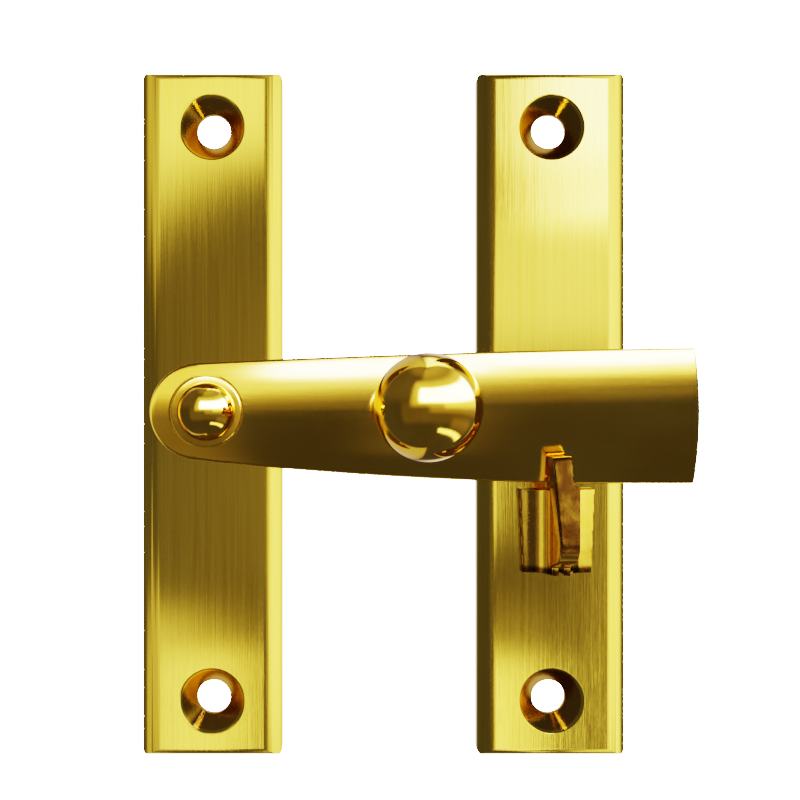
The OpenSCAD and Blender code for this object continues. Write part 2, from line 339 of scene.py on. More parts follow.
def arc(centre_r, centre_h, radius, start, end, steps):
    """Points of an arc, from angle start to angle end, measured from the level."""
    angles = [start + (end - start) * k / steps for k in range(steps + 1)]
    return [(centre_r + radius * math.cos(a), centre_h + radius * math.sin(a)) for a in angles]


def rounded(corners, steps=5):
    """An outline whose corners (radius, height, rounding) become arcs."""
    points = []
    for i, (r, h, rounding) in enumerate(corners):
        if not rounding:
            points.append((r, h))
            continue
        here = Vector((r, h))
        back = (Vector(corners[i - 1][:2]) - here).normalized()
        ahead = (Vector(corners[i + 1][:2]) - here).normalized()
        half = back.angle(ahead) / 2
        centre = here + (back + ahead).normalized() * rounding / math.sin(half)
        start = here + back * rounding / math.tan(half) - centre
        sweep = (here + ahead * rounding / math.tan(half) - centre).angle_signed(start)
        for k in range(steps + 1):
            turn = sweep * k / steps
            x = start.x * math.cos(turn) - start.y * math.sin(turn)
            y = start.x * math.sin(turn) + start.y * math.cos(turn)
            points.append((centre.x + x, centre.y + y))
    return points


def turned(name, outline, x, z, steps=TURNED_STEPS):
    """Extrudes an outline point by point and spins it about the front-to-back line through x and z."""
    obj = new_point(name)
    places = [Vector((x + r, -h, z)) for r, h in outline]
    with editing(obj):
        bpy.ops.mesh.select_mode(type="VERT")
        bpy.ops.mesh.select_all(action="SELECT")
        bpy.ops.transform.translate(value=places[0])
        for before, after in zip(places, places[1:]):
            bpy.ops.mesh.extrude_region_move(TRANSFORM_OT_translate={"value": after - before})
        bpy.ops.mesh.select_all(action="SELECT")
        bpy.ops.mesh.spin(steps=steps, angle=FULL_TURN, center=(x, 0, z), axis=(0, 1, 0))
    tidy_mesh(obj)
    return obj


def ring(name, inner, outer, low, high, edge, x, z):
    """A turned washer with rounded outer edges."""
    outline = rounded([
        (inner, low, 0),
        (outer, low, edge),
        (outer, high, edge),
        (inner + edge, high, 0),
        (inner, high - edge, 0),
        (inner, low, 0),
    ])
    return turned(name, outline, x, z)


# Node trees


class Wire:
    """A value in a node tree. Python's operators on it add Math nodes."""

    def __init__(self, tree, socket):
        self.tree = tree
        self.socket = socket

    def math(self, operation, *values):
        """Adds a Math node on this value and the others."""
        return self.tree.node("Math", {"operation": operation}, dict(enumerate([self, *values]))).out()

    def __add__(self, other):
        return self.math("ADD", other)

    __radd__ = __add__

    def __mul__(self, other):
        return self.math("MULTIPLY", other)

    def __sub__(self, other):
        return self.math("SUBTRACT", other)

    def __rsub__(self, other):
        return (self * -1).math("ADD", other)


class Made:
    """A node that was added, whose outputs are read as wires."""

    def __init__(self, tree, node):
        self.tree = tree
        self.node = node

    def out(self, key=0):
        return Wire(self.tree, self.node.outputs[key])


class Tree:
    """The node tree of a material or a world, with one method that adds any node."""

    def __init__(self, owner):
        owner.use_nodes = True
        self.nodes = owner.node_tree.nodes
        self.links = owner.node_tree.links
        self.nodes.clear()

    def node(self, kind, settings=None, values=None):
        """Adds a node: its settings first, then the values or wires of its sockets."""
        node = self.nodes.new("ShaderNode" + kind)
        for key, value in (settings or {}).items():
            setattr(node, key, value)
        for key, value in (values or {}).items():
            if isinstance(value, Wire):
                self.links.new(value.socket, node.inputs[key])
            else:
                node.inputs[key].default_value = value
        return Made(self, node)

    def mix(self, factor, a, b):
        """Mixes two colours."""
        a, b = [v if isinstance(v, Wire) else (*v, 1) for v in (a, b)]
        return self.node("Mix", {"data_type": "RGBA"}, {0: factor, 6: a, 7: b}).out(2)

    def spread(self, value, low, high, to_low=0.0, to_high=1.0):
        """Maps a value from one range to another with soft ends."""
        sockets = {0: value, 1: low, 2: high, 3: to_low, 4: to_high}
        return self.node("MapRange", {"interpolation_type": "SMOOTHSTEP"}, sockets).out()

    def band(self, value, low, high, soft):
        """One between low and high, falling softly to nought outside."""
        return self.spread(value, low - soft, low + soft) * self.spread(value, high - soft, high + soft, 1.0, 0.0)

    def place(self):
        """Object coordinates."""
        return self.node("TexCoord").out("Object")

    def noise(self, scale, detail=3.0, rough=0.5, distortion=0.0, shift=(0, 0, 0)):
        """Noise on Object coordinates, with a separate scale on each axis."""
        point = self.node("Mapping", None, {0: self.place(), 1: shift, 3: scale}).out()
        sockets = {"Vector": point, "Scale": 1.0, "Detail": detail, "Roughness": rough, "Distortion": distortion}
        return self.node("TexNoise", None, sockets).out()

    def bump(self, height, depth, strength=1.0):
        """A bump node for the Normal socket."""
        return self.node("Bump", None, {"Strength": strength, "Distance": depth, "Height": height}).out()


def new_metal(name, build):
    """A new metal material. build(tree) gives its colour, roughness and bump, and its fixed values."""
    material = bpy.data.materials.new(name)
    tree = Tree(material)
    colour, roughness, normal, fixed = build(tree)
    values = {"Base Color": colour, "Metallic": 1.0, "Roughness": roughness, "Normal": normal}
    shader = tree.node("BsdfPrincipled", None, {**values, **fixed}).out()
    tree.node("OutputMaterial", None, {"Surface": shader})
    return material


def roll_mask(tree, across, box):
    """One over the flat of a plate, nought on its rolled edges and beyond."""
    roll = bpy.context.scene.latch_plates.roll_run
    return tree.band(across, box[0].x + roll * 0.75, box[1].x - roll * 0.75, roll / 3)


def satin(tree, colours):
    """Lengthwise satin brushing, with a faint toning of the metal and painted shade in the countersinks."""
    fine = tree.noise((9000, 9000, 90), 3, 0.6)
    streaks = tree.noise((2600, 2600, 28), 3, 0.6, shift=(3, 1, 0))
    cloud = tree.noise((60, 60, 26), 2, 0.5)
    toned = tree.spread(cloud * 0.35 + streaks * 0.4 + fine * 0.25, 0.36, 0.64)
    colour = tree.mix(toned, colours.satin_deep, colours.satin)
    parts = tree.node("SeparateXYZ", None, {0: tree.place()})
    across = parts.out(0)
    rubbed = 1 - roll_mask(tree, across, PIVOT_PLATE) - roll_mask(tree, across, KEEPER_PLATE)
    # Painted shade: the countersink cones, between the flat front and the back, are browned in colour
    front = [PIVOT_PLATE[0].y + step for step in SINK_BELOW_FRONT]
    back = [PIVOT_PLATE[1].y - step for step in SINK_ABOVE_BACK]
    sunk = tree.spread(parts.out(1), *front) * (1 - rubbed)
    sunk = sunk * tree.band(parts.out(2).math("ABSOLUTE"), *SINK_HEIGHTS, SINK_SOFT)
    sunk = sunk * tree.spread(parts.out(1), *back, 1, 0)
    colour = tree.mix(sunk * tree.spread(cloud, 0.2, 0.7, 0.7, 0.95), colour, colours.sunk)
    roughness = streaks * 0.06 + fine * 0.04 + 0.05 + rubbed * 0.05
    bump = tree.bump(fine * 0.5 + streaks * 0.5, 0.00002, 0.5)
    return colour, roughness, bump, {"Anisotropic": 0.3}


def faint_brushing(tree, colours):
    """Polished over faint brushing along the bar, with a few finger-rubbed clouds."""
    fine = tree.noise((60, 9000, 9000), 3, 0.6)
    streaks = tree.noise((22, 2200, 2200), 3, 0.6, shift=(1, 3, 0))
    cloud = tree.noise((45, 90, 90), 2, 0.5)
    colour = tree.mix(tree.spread(cloud, 0.3, 0.7), colours.deep, colours.brass)
    roughness = streaks * 0.06 + fine * 0.03 + 0.06
    bump = tree.bump(fine * 0.5 + streaks * 0.5, 0.000008, 0.5)
    return colour, roughness, bump, {"Anisotropic": 0.6, "Anisotropic Rotation": 0.25}


def mirror_polish(tree, colours):
    """Mirror polish with faint handling marks and slight waviness."""
    cloud = tree.noise((230, 230, 230), 3, 0.55)
    marks = tree.noise((2400, 700, 900), 4, 0.7, 0.6)
    wave = tree.noise((320, 320, 320), 1, 0.4)
    colour = tree.mix(tree.spread(cloud, 0.3, 0.7), colours.deep, colours.brass)
    roughness = tree.spread(cloud, 0.35, 0.75, 0.035, 0.085) + marks * 0.03
    bump = tree.bump(wave * 0.8 + marks * 0.2, 0.00005, 0.5)
    return colour, roughness, bump, {}


def cast_polish(tree, colours):
    """A polished casting: soft waves, small pits and patches of deeper tone, with painted shade on the finger's
    front, in the side hollow and on the underside.
    """
    wave = tree.noise((260, 260, 200), 2, 0.5)
    pits = tree.spread(tree.noise((3200, 3200, 3200), 2, 0.5), 0.66, 0.78)
    cloud = tree.noise((330, 330, 330), 3, 0.55)
    colour = tree.mix(tree.spread(cloud, 0.3, 0.72), colours.deep, colours.brass)
    parts = tree.node("SeparateXYZ", None, {0: tree.place()})
    # Painted shade: the finger's front, the side hollow and the underside are darkened in colour, unevenly
    shade_patchiness = tree.spread(cloud, 0.2, 0.6, 0.75, 1.0)
    grip = tree.spread(parts.out(1), *FINGER_FRONT) * tree.spread(parts.out(2), *FINGER_ROOT) * shade_patchiness
    hollow = tree.spread(parts.out(0), *HOLLOW_SIDE) * shade_patchiness * 0.85
    under = tree.spread(parts.out(2), *UNDERSIDE)
    colour = tree.mix(grip, colour, colours.toned)
    colour = tree.mix(hollow, colour, colours.shade)
    colour = tree.mix(under, colour, colours.toned)
    roughness = cloud * 0.10 + pits * 0.2 + 0.09
    bump = tree.bump(wave - pits * 0.06, 0.00006, 0.5)
    return colour, roughness, bump, {}


def plain(tree, colours):
    """Dull turned brass."""
    cloud = tree.noise((420, 420, 420), 4, 0.6)
    grain = tree.noise((5200, 5200, 5200), 2, 0.5)
    colour = tree.mix(tree.spread(cloud, 0.3, 0.7), colours.old, colours.deep)
    return colour, cloud * 0.2 + 0.28, tree.bump(grain, 0.00001, 0.5), {}


def bronze(tree, colours):
    """Rolled bronze strip, streaked along the roll."""
    streaks = tree.noise((200, 200, 5200), 3, 0.6)
    cloud = tree.noise((500, 500, 500), 3, 0.5)
    colour = tree.mix(cloud, colours.old, colours.bronze)
    return colour, streaks * 0.16 + 0.2, tree.bump(streaks, 0.000008, 0.5), {}


FINISHES = {
    "satin_brass": satin,
    "bar_brass": faint_brushing,
    "polished_brass": mirror_polish,
    "cast_brass": cast_polish,
    "plain_brass": plain,
    "spring_bronze": bronze,
}


def finish_of(slot):
    """The material of a slot, made once."""
    name = slot + "_finish"
    colours = bpy.context.scene.latch_colours
    return bpy.data.materials.get(name) or new_metal(name, lambda tree: FINISHES[slot](tree, colours))


def finish(obj, body, node, slot):
    """Shades a piece, gives it its metal, and lets it stand for its CAD part on its body."""
    make_only(obj)
    bpy.ops.object.shade_smooth_by_angle(angle=SMOOTH_SHADING)
    apply_modifier(obj, "WEIGHTED_NORMAL", mode="FACE_AREA", weight=50, keep_sharp=True)
    obj.data.materials.clear()
    obj.data.materials.append(finish_of(slot))
    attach(obj, body)
    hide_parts(node)


# The pieces


def height(corner):
    """Height of a corner above the mounting surface."""
    return -corner.y


def round_over(obj, middle, front, run, drop, across, half, steps):
    """Rolls both edges of a plate's front by cutting along planes that touch the roll's arc."""
    radius = roll_radius(run, drop)
    sweep = math.asin(run / radius)
    for side in (-1, 1):
        centre = middle + across * side * (half - run) + Vector((0, front + radius, 0))
        for k in range(steps):
            angle = sweep * (k + 0.5) / steps
            normal = across * side * math.sin(angle) - Vector((0, math.cos(angle), 0))
            bpy.ops.mesh.select_all(action="SELECT")
            bpy.ops.mesh.bisect(
                plane_co=centre + normal * radius, plane_no=normal, use_fill=True, clear_outer=True,
                threshold=CLOSE / 10,
            )


def sink_cutter(sizes, thickness, x, z):
    """The shape of a screw hole with a countersink whose rim is rounded over."""
    hole = sizes.screw_hole / 2
    mouth = sizes.sink / 2
    past = thickness
    lip_rise = past / 20
    return turned("sink_cutter", rounded([
        (0, -past, 0),
        (hole, -past, 0),
        (hole, thickness - (mouth - hole), sizes.sink_lip),
        (mouth, thickness, sizes.sink_lip * 1.6),
        (mouth + past, thickness + lip_rise, 0),
        (mouth + past, 2 * thickness, 0),
        (0, 2 * thickness, 0),
    ]), x, z)


def plate(name, box, sizes, holes):
    """A screw plate with rounded corners, rolled edges and countersunk holes, and further holes in its back."""
    low, high = box
    middle = (low + high) / 2
    obj = new_block(name, low, high)
    with editing(obj):
        pick(obj, "EDGE", lambda e: abs(e.verts[0].co.y - e.verts[1].co.y) > CLOSE)
        bpy.ops.mesh.bevel(offset=sizes.corner, offset_type="OFFSET", segments=CORNER_STEPS, affect="EDGES")
        across = Vector((1, 0, 0))
        up = Vector((0, 0, 1))
        centre = Vector((middle.x, 0, middle.z))
        round_over(obj, centre, low.y, sizes.roll_run, sizes.roll_drop, across, (high - low).x / 2, ROLL_STEPS)
        round_over(obj, centre, low.y, sizes.end_run, sizes.end_drop, up, (high - low).z / 2, END_ROLL_STEPS)
    tidy_mesh(obj)
    for side in (-1, 1):
        z = middle.z + side * ((high - low).z / 2 - sizes.screw_inset)
        cut(obj, sink_cutter(sizes, height(low), middle.x, z))
    for cutter in holes:
        cut(obj, cutter)
    return obj


def rivet_outline(head, shank, top, edge=0.0):
    """Outline of a countersunk rivet or screw whose head is flush at the back."""
    depth = (head - shank) / 2
    return [(0, 0), (head / 2 - edge, 0), (head / 2, edge), (shank / 2, depth), (shank / 2, top), (0, top)]


def raised(outline, by):
    """An outline moved forward."""
    return [(r, h + by) for r, h in outline]


def rivet_places():
    """Heights of the hook's two rivets, the lower one first."""
    low, high = RIVETS
    half = (high - low).x / 2
    return low.z + half, high.z - half


class LatchPlates(Operator):
    """Builds the pivot plate and the keeper plate"""

    bl_idname = "mesh.latch_plates"
    bl_label = "Plates"

    def execute(self, context):
        sizes = context.scene.latch_plates
        pivot = context.scene.latch_pivot
        hook = context.scene.latch_hook
        pin_outline = rivet_outline(pivot.tail, pivot.shank, 2 * height(PIVOT_PLATE[0]))
        pin_hole = turned("pin_hole", pin_outline, *axis_of(HEAD_WASHER))
        rivet_hole_outline = rivet_outline(hook.rivet_head, hook.rivet, 2 * height(KEEPER_PLATE[0]))
        rivet_x = axis_of(RIVETS)[0]
        rivet_holes = [turned("rivet_hole", rivet_hole_outline, rivet_x, z) for z in rivet_places()]
        finish(plate("pivot_plate_piece", PIVOT_PLATE, sizes, [pin_hole]), "pivot_plate_group", "pivot_plate",
               "satin_brass")
        finish(plate("keeper_plate_piece", KEEPER_PLATE, sizes, rivet_holes), "keeper_group", "keeper_plate",
               "satin_brass")
        return {"FINISHED"}


class LatchPivot(Operator):
    """Builds the domed pin, the washer under its head and the spacer behind the bar"""

    bl_idname = "mesh.latch_pivot"
    bl_label = "Pivot"

    def execute(self, context):
        sizes = context.scene.latch_pivot
        low, high = HEAD_WASHER
        x, z = axis_of(HEAD_WASHER)
        under_dome = height(low)
        dome = roll_radius(sizes.dome / 2, sizes.dome_height)
        dome_centre = under_dome + sizes.dome_height - dome
        tail = rivet_outline(sizes.tail, sizes.shank, height(PIVOT_PLATE[0]))[:-1]
        shoulder = [(sizes.shoulder / 2, height(PIVOT_PLATE[0])), (sizes.shoulder / 2, under_dome)]
        start = math.asin((under_dome - dome_centre) / dome)
        lip = [(sizes.dome / 2 - sizes.edge, under_dome)]
        head = arc(0, dome_centre, dome, start + DOME_LIP_ANGLE, math.pi / 2, DOME_STEPS)
        finish(turned("pivot_pin_piece", tail + shoulder + lip + head, x, z), "pivot_plate_group", "pivot_pin",
               "polished_brass")
        bore = sizes.shoulder / 2 + sizes.bore_fit
        washer = ring("head_washer_piece", bore, (high - low).x / 2, height(high), height(low), sizes.edge, x, z)
        finish(washer, "pivot_plate_group", "head_washer", "polished_brass")
        low, high = SPACER
        spacer = ring("spacer_piece", bore, (high - low).x / 2, height(high), height(low), sizes.edge, x, z)
        finish(spacer, "pivot_plate_group", "spacer_washer", "plain_brass")
        spring = frame["nodes"]["spring_washer"]
        spring.data.materials.clear()
        spring.data.materials.append(finish_of("spring_bronze"))
        return {"FINISHED"}


def edge_level(x, level, rise, end_radius, end_back):
    """Height of a long edge of the bar from the pivot line, on the arc that meets the rounded end."""
    radius = ((level + end_back) ** 2 + rise**2 - end_radius**2) / (2 * (rise - end_radius))
    short = max(level - x, 0)
    return rise - radius + math.sqrt(radius**2 - short**2)


def bar_sheet(sizes, pivot_z):
    """The front outline of the bar as a flat sheet: a spun rounded end, drawn out and tapered."""
    front = BAR[0].y
    centre = Vector((-sizes.end_back, front, pivot_z))
    step = Vector((0, 0, sizes.end_radius / sizes.rings))
    obj = new_point("latch_bar_piece")
    run = (BAR[1].x - centre.x) / sizes.stations
    with editing(obj):
        bpy.ops.mesh.select_mode(type="VERT")
        bpy.ops.mesh.select_all(action="SELECT")
        bpy.ops.transform.translate(value=centre)
        for _ in range(sizes.rings):
            bpy.ops.mesh.extrude_region_move(TRANSFORM_OT_translate={"value": step})
        bpy.ops.mesh.select_all(action="SELECT")
        bpy.ops.mesh.spin(steps=BAR_END_STEPS, angle=math.pi, center=centre, axis=(0, 1, 0))
        bpy.ops.mesh.select_all(action="SELECT")
        bpy.ops.mesh.remove_doubles(threshold=CLOSE)
        for k in range(sizes.stations):
            here = centre.x + run * k
            pick(obj, "VERT", lambda v: abs(v.co.x - here) < run / 100)
            bpy.ops.mesh.extrude_region_move(TRANSFORM_OT_translate={"value": (run, 0, 0)})
        for k in range(1, sizes.stations + 1):
            x = centre.x + run * k
            levels = (
                (1, edge_level(x, sizes.top_level, sizes.top_rise, sizes.end_radius, sizes.end_back)),
                (-1, edge_level(x, sizes.bottom_level, sizes.bottom_drop, sizes.end_radius, sizes.end_back)),
            )
            for side, level in levels:
                pick(obj, "VERT", lambda v: abs(v.co.x - x) < run / 100 and (v.co.z - pivot_z) * side > CLOSE)
                bpy.ops.transform.resize(
                    value=(1, 1, level / sizes.end_radius), center_override=(x, front, pivot_z)
                )
    return obj


def crown_form(sizes, pivot_z):
    """A fine cylinder that the bar's front is laid on."""
    middle = (BAR[0] + BAR[1]) / 2
    place = (middle.x, BAR[0].y + sizes.crown, pivot_z)
    bpy.ops.mesh.primitive_cylinder_add(
        vertices=CROWN_STEPS, radius=sizes.crown, depth=2 * (BAR[1] - BAR[0]).x, location=place,
        rotation=(0, math.pi / 2, 0),
    )
    obj = bpy.context.object
    apply_place(obj)
    return obj


class LatchBar(Operator):
    """Builds the crowned, tapered bar"""

    bl_idname = "mesh.latch_bar"
    bl_label = "Bar"

    def execute(self, context):
        sizes = context.scene.latch_bar
        pivot = context.scene.latch_pivot
        knob = context.scene.latch_knob
        pivot_x, pivot_z = axis_of(HEAD_WASHER)
        front, back = height(BAR[0]), height(BAR[1])
        obj = bar_sheet(sizes, pivot_z)
        with editing(obj):
            bpy.ops.mesh.select_mode(type="FACE")
            bpy.ops.mesh.select_all(action="SELECT")
            bpy.ops.mesh.extrude_region_move(TRANSFORM_OT_translate={"value": (0, sizes.thickness, 0)})
            bpy.ops.mesh.select_all(action="SELECT")
            bpy.ops.mesh.normals_make_consistent(inside=False)
        group = obj.vertex_groups.new(name="crown")
        group.add([v.index for v in obj.data.vertices if abs(height(v.co) - front) < CLOSE], 1, "REPLACE")
        form = crown_form(sizes, pivot_z)
        apply_modifier(
            obj, "SHRINKWRAP", wrap_method="PROJECT", use_project_y=True, use_project_x=False,
            use_project_z=False, use_positive_direction=True, use_negative_direction=False,
            target=form, vertex_group=group.name,
        )
        bpy.data.objects.remove(form)
        with editing(obj):
            pick(obj, "EDGE", lambda e: is_sharp(e, SHARP_EDGE))
            bpy.ops.mesh.bevel(offset=sizes.edge, segments=BAR_EDGE_STEPS, affect="EDGES", clamp_overlap=False)
        seat = front - sizes.seat_depth
        bore = pivot.shoulder / 2 + pivot.bore_fit
        past = sizes.thickness
        cut(obj, turned("pivot_cutter", [
            (0, back - past), (bore, back - past), (bore, seat), (sizes.seat / 2, seat),
            (sizes.seat / 2, front + past), (0, front + past),
        ], pivot_x, pivot_z))
        knob_x, knob_z = axis_of(KNOB)
        hole = knob.screw / 2
        foot = knob.foot / 2 + knob.foot_gap
        sunk = (knob.screw_head - knob.screw) / 2
        cut(obj, turned("knob_cutter", [
            (0, back - past), (knob.screw_head / 2 + past, back - past), (hole, back + sunk), (hole, seat),
            (foot, seat), (foot, front + past), (0, front + past),
        ], knob_x, knob_z))
        finish(obj, "bar_group", "latch_bar", "bar_brass")
        return {"FINISHED"}


class LatchKnob(Operator):
    """Builds the ball knob and the slotted screw that holds it"""

    bl_idname = "mesh.latch_knob"
    bl_label = "Knob"

    def execute(self, context):
        sizes = context.scene.latch_knob
        low, high = KNOB
        x, z = axis_of(KNOB)
        ball = (high - low).x / 2
        ball_height = height(low) - ball
        foot = sizes.foot / 2
        base = height(high)
        bore = sizes.screw / 2
        bar_front, bar_back = height(BAR[0]), height(BAR[1])
        bore_top = bar_front + sizes.foot_height + sizes.screw_grip
        # Neck: an arc that touches the foot's side and the ball
        neck_drop = math.sqrt((ball + sizes.neck) ** 2 - (foot + sizes.neck) ** 2)
        neck_height = ball_height - neck_drop
        meeting = math.atan2(-neck_drop, foot + sizes.neck)
        neck = arc(foot + sizes.neck, neck_height, sizes.neck, math.pi, meeting + math.pi, NECK_STEPS)
        outline = [(bore, base), (foot, base)] + neck
        outline += arc(0, ball_height, ball, meeting, math.pi / 2, BALL_STEPS)[1:]
        outline += [(0, bore_top), (bore, bore_top), (bore, base)]
        finish(turned("knob_ball_piece", outline, x, z), "bar_group", "knob_ball", "polished_brass")

        screw = turned("knob_screw_piece", raised(
            rivet_outline(sizes.screw_head, sizes.screw, bore_top - bar_back, sizes.foot_gap), bar_back), x, z)
        half = sizes.screw_head
        cut(screw, new_block(
            "slot_cutter",
            (x - half, -bar_back - sizes.slot_depth, z - sizes.slot_width / 2),
            (x + half, -bar_back + sizes.slot_depth, z + sizes.slot_width / 2),
        ))
        finish(screw, "bar_group", "knob_screw", "plain_brass")
        return {"FINISHED"}


def cad_copy(node, name):
    """A welded copy of a CAD part, with its flat stretches made single faces."""
    source = frame["nodes"][node]
    make_only(source)
    bpy.ops.object.duplicate()
    obj = bpy.context.object
    obj.name = name
    bpy.ops.object.parent_clear(type="CLEAR_KEEP_TRANSFORM")
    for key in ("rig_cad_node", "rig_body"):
        del obj[key]
    with editing(obj):
        bpy.ops.mesh.select_all(action="SELECT")
        bpy.ops.mesh.remove_doubles(threshold=CLOSE)
        bpy.ops.mesh.select_all(action="SELECT")
        bpy.ops.mesh.dissolve_limited(angle_limit=FLAT)
    return obj


class LatchHook(Operator):
    """Builds the cast hook and its two rivets"""

    bl_idname = "mesh.latch_hook"
    bl_label = "Hook"

    def execute(self, context):
        sizes = context.scene.latch_hook
        hook = cad_copy("keeper_hook", "keeper_hook_piece")
        apply_modifier(hook, "REMESH", mode="VOXEL", voxel_size=sizes.grain, use_smooth_shade=True)
        apply_modifier(hook, "SMOOTH", factor=0.5, iterations=sizes.rubbing)
        finish(hook, "keeper_group", "keeper_hook", "cast_brass")

        rivet_x = axis_of(RIVETS)[0]
        outline = rivet_outline(sizes.rivet_head, sizes.rivet, height(RIVETS[0]), sizes.edge)
        rivets = [turned("hook_rivets_piece", outline, rivet_x, z) for z in rivet_places()]
        bpy.ops.object.select_all(action="DESELECT")
        for rivet in rivets:
            rivet.select_set(True)
        bpy.context.view_layer.objects.active = rivets[0]
        bpy.ops.object.join()
        finish(rivets[0], "keeper_group", "hook_rivets", "plain_brass")
        return {"FINISHED"}


# The studio


# Windows of light round the latch, as directions from it in degrees:
# left, right, low, high, softness, lean (rise of the window's edges per degree to the right), level.
# Right and up are positive, and the wall behind the latch is at 180.
# Each group of pieces has its own windows, set for the view from the front.
PIVOT_PLATE_LIGHTS = (
    (-22, 40, -28, 28, 6, 0, 0.05),
    (-6, 12, -13, 9, 4, 0, 0.06),
    (-62, -14, 13, 28, 5, 0, 0.6),
    (-62, -14, -28, -14.5, 3, 0, 0.6),
    (-18, -7.5, 20.6, 34, 2.6, 0.6, 0.65),
    (-14, 1, 19.8, 28, 3, 0.3, 1.2),
    (-9, 1, 18, 28, 1.5, 0, 0.8),
    (16, 66, -28, 28, 9, 0, 2.2),
    (-16, -9, -28, -14.5, 1.6, 0, 0.75),
    (-10, -4.6, -28, -17.3, 1.2, 0, 2.0),
    (-10, -4.6, -28, -15, 2, 0, 0.2),
    (100, 180, -90, 90, 10, 0, 0.8),
    (-180, -100, -90, 90, 10, 0, 0.8),
)
KEEPER_PLATE_LIGHTS = (
    (-8, 40, -28, 28, 6, 0, 0.05),
    (7, 24, 4, 12.8, 3, 0, 1.5),
    (9, 24, 12.5, 28, 3, 0, 0.5),
    (13, 24, 16.8, 28, 1.4, 0, 1.4),
    (16, 26, 12.5, 28, 1.2, 0, 4),
    (26, 70, -28, 28, 7, 0, 2.4),
    (4, 11.4, -8.5, 4, 2.4, 0, 1.9),
    (5, 12, -28, -14.3, 1.6, -0.3, 1.3),
    (11, 15.8, -28, -17, 1.2, 0, 2.4),
    (11, 15.8, -28, -13.5, 2, 0, 0.2),
    (100, 180, -90, 90, 10, 0, 0.8),
    (-180, -120, -90, 90, 10, 0, 0.8),
)
BAR_LIGHTS = (
    (4, 12, -30, 2, 3, 0, 0.07),
    (-60, 90, 1.5, 44, 2.5, 0.35, 0.12),
    (-60, 90, 8.5, 44, 4, 0.45, 0.38),
    (-60, 90, 15, 44, 4, 0.5, 1.25),
    (-3.5, 12.5, 24.5, 37, 3, 0.25, 12),
    (-30, -7, -40, 14, 3, 0, 0.14),
    (11, 90, 25, 36, 3, 0, 2.5),
    (14, 90, 33, 43, 3, 0, 14),
    (-125, -50, -40, 30, 10, 0, 0.8),
    (100, 180, -90, 90, 10, 0, 0.8),
    (-180, -125, -90, 90, 10, 0, 0.8),
)
POLISHED_LIGHTS = (
    (-60, 110, -30, 10, 8, 0, 0.07),
    (-180, 110, 12, 90, 10, 0, 0.05),
    (-21, 106, 11, 38, 6, 0, 14),
    (-38, 112, 4, 52, 8, 0, 0.9),
    (30, 120, 0, 16, 6, 0, 1.2),
    (0, 130, -9, 6, 6, 0, 0.3),
    (-20, 180, 48, 90, 12, 0, 0.28),
    (-180, 180, 68, 90, 8, 0, 0.16),
    (115, 175, -36, 40, 8, 0, 1.0),
    (115, 175, 55, 90, 8, 0, 4.0),
    (50, 100, -38, -18, 8, 0, 0.14),
    (24, 98, -49, -41, 3, 0, 4.0),
    (-180, -120, -90, 90, 10, 0, 0.6),
)
HOOK_LIGHTS = (
    (-60, 12, -30, 30, 2, 0, 0.06),
    (15, 60, -40, 60, 4, 0, 0.5),
    (14, 60, -9, 20, 1.2, 0, 1.8),
    (-110, -30, -60, 60, 8, 0, 0.25),
    (-75, -50, -40, 40, 6, 0, 1.0),
    (-40, 60, 12, 40, 6, 0, 0.5),
    (-20, 60, -60, -30, 8, 0, 0.6),
    (100, 180, -90, 90, 10, 0, 0.15),
    (-180, -120, -90, 90, 10, 0, 0.15),
)


# Each dome of light: its name, radius, windows, level outside the windows, and the pieces it lights.
# The radii differ, because domes of one size would hide each other.
DOMES = (
    ("pivot_plate_lights", 0.6, PIVOT_PLATE_LIGHTS, 0.05, ("pivot_plate_piece",)),
    ("keeper_plate_lights", 0.7, KEEPER_PLATE_LIGHTS, 0.03, ("keeper_plate_piece",)),
    ("bar_lights", 0.8, BAR_LIGHTS, 0.018, ("latch_bar_piece",)),
    ("polished_lights", 0.9, POLISHED_LIGHTS, 0.03, (
        "knob_ball_piece", "pivot_pin_piece", "head_washer_piece", "spacer_piece", "knob_screw_piece",
        "hook_rivets_piece", "spring_washer",
    )),
    ("hook_lights", 1.0, HOOK_LIGHTS, 0.05, ("keeper_hook_piece",)),
)

# Tints of the windows, and the levels over which one passes into the next
DIM_TINT = (1, 0.88, 0.75)
PLAIN_TINT = (1, 1.02, 1.05)
BRIGHT_TINT = (1, 1.15, 4)
DIM_TO_PLAIN = (0.15, 1.2)
PLAIN_TO_BRIGHT = (3, 10)

WHITE = (1, 1, 1, 1)
WHITE_LEVEL = 30
ROOM_TINT = (0.9, 1.1, 2.4, 1)
ROOM_LEVEL = 0.06
FLOOR_PAINT = (0.9, 0.9, 0.9, 1)
FLOOR_GLOW = 0.85
FLOOR_SIZE = 6
FLOOR_CLEARANCE = 1.15
CLIP_START = 0.005


def studio_world():
    """White seen directly, and a dark room in reflections."""
    world = bpy.data.worlds.new("studio")
    bpy.context.scene.world = world
    tree = Tree(world)
    reflected = tree.node("Background", None, {0: ROOM_TINT, 1: ROOM_LEVEL}).out()
    seen = tree.node("Background", None, {0: WHITE, 1: WHITE_LEVEL}).out()
    rays = tree.node("LightPath").out("Is Camera Ray")
    both = tree.node("MixShader", None, {0: rays, 1: reflected, 2: seen}).out()
    tree.node("OutputWorld", None, {"Surface": both})


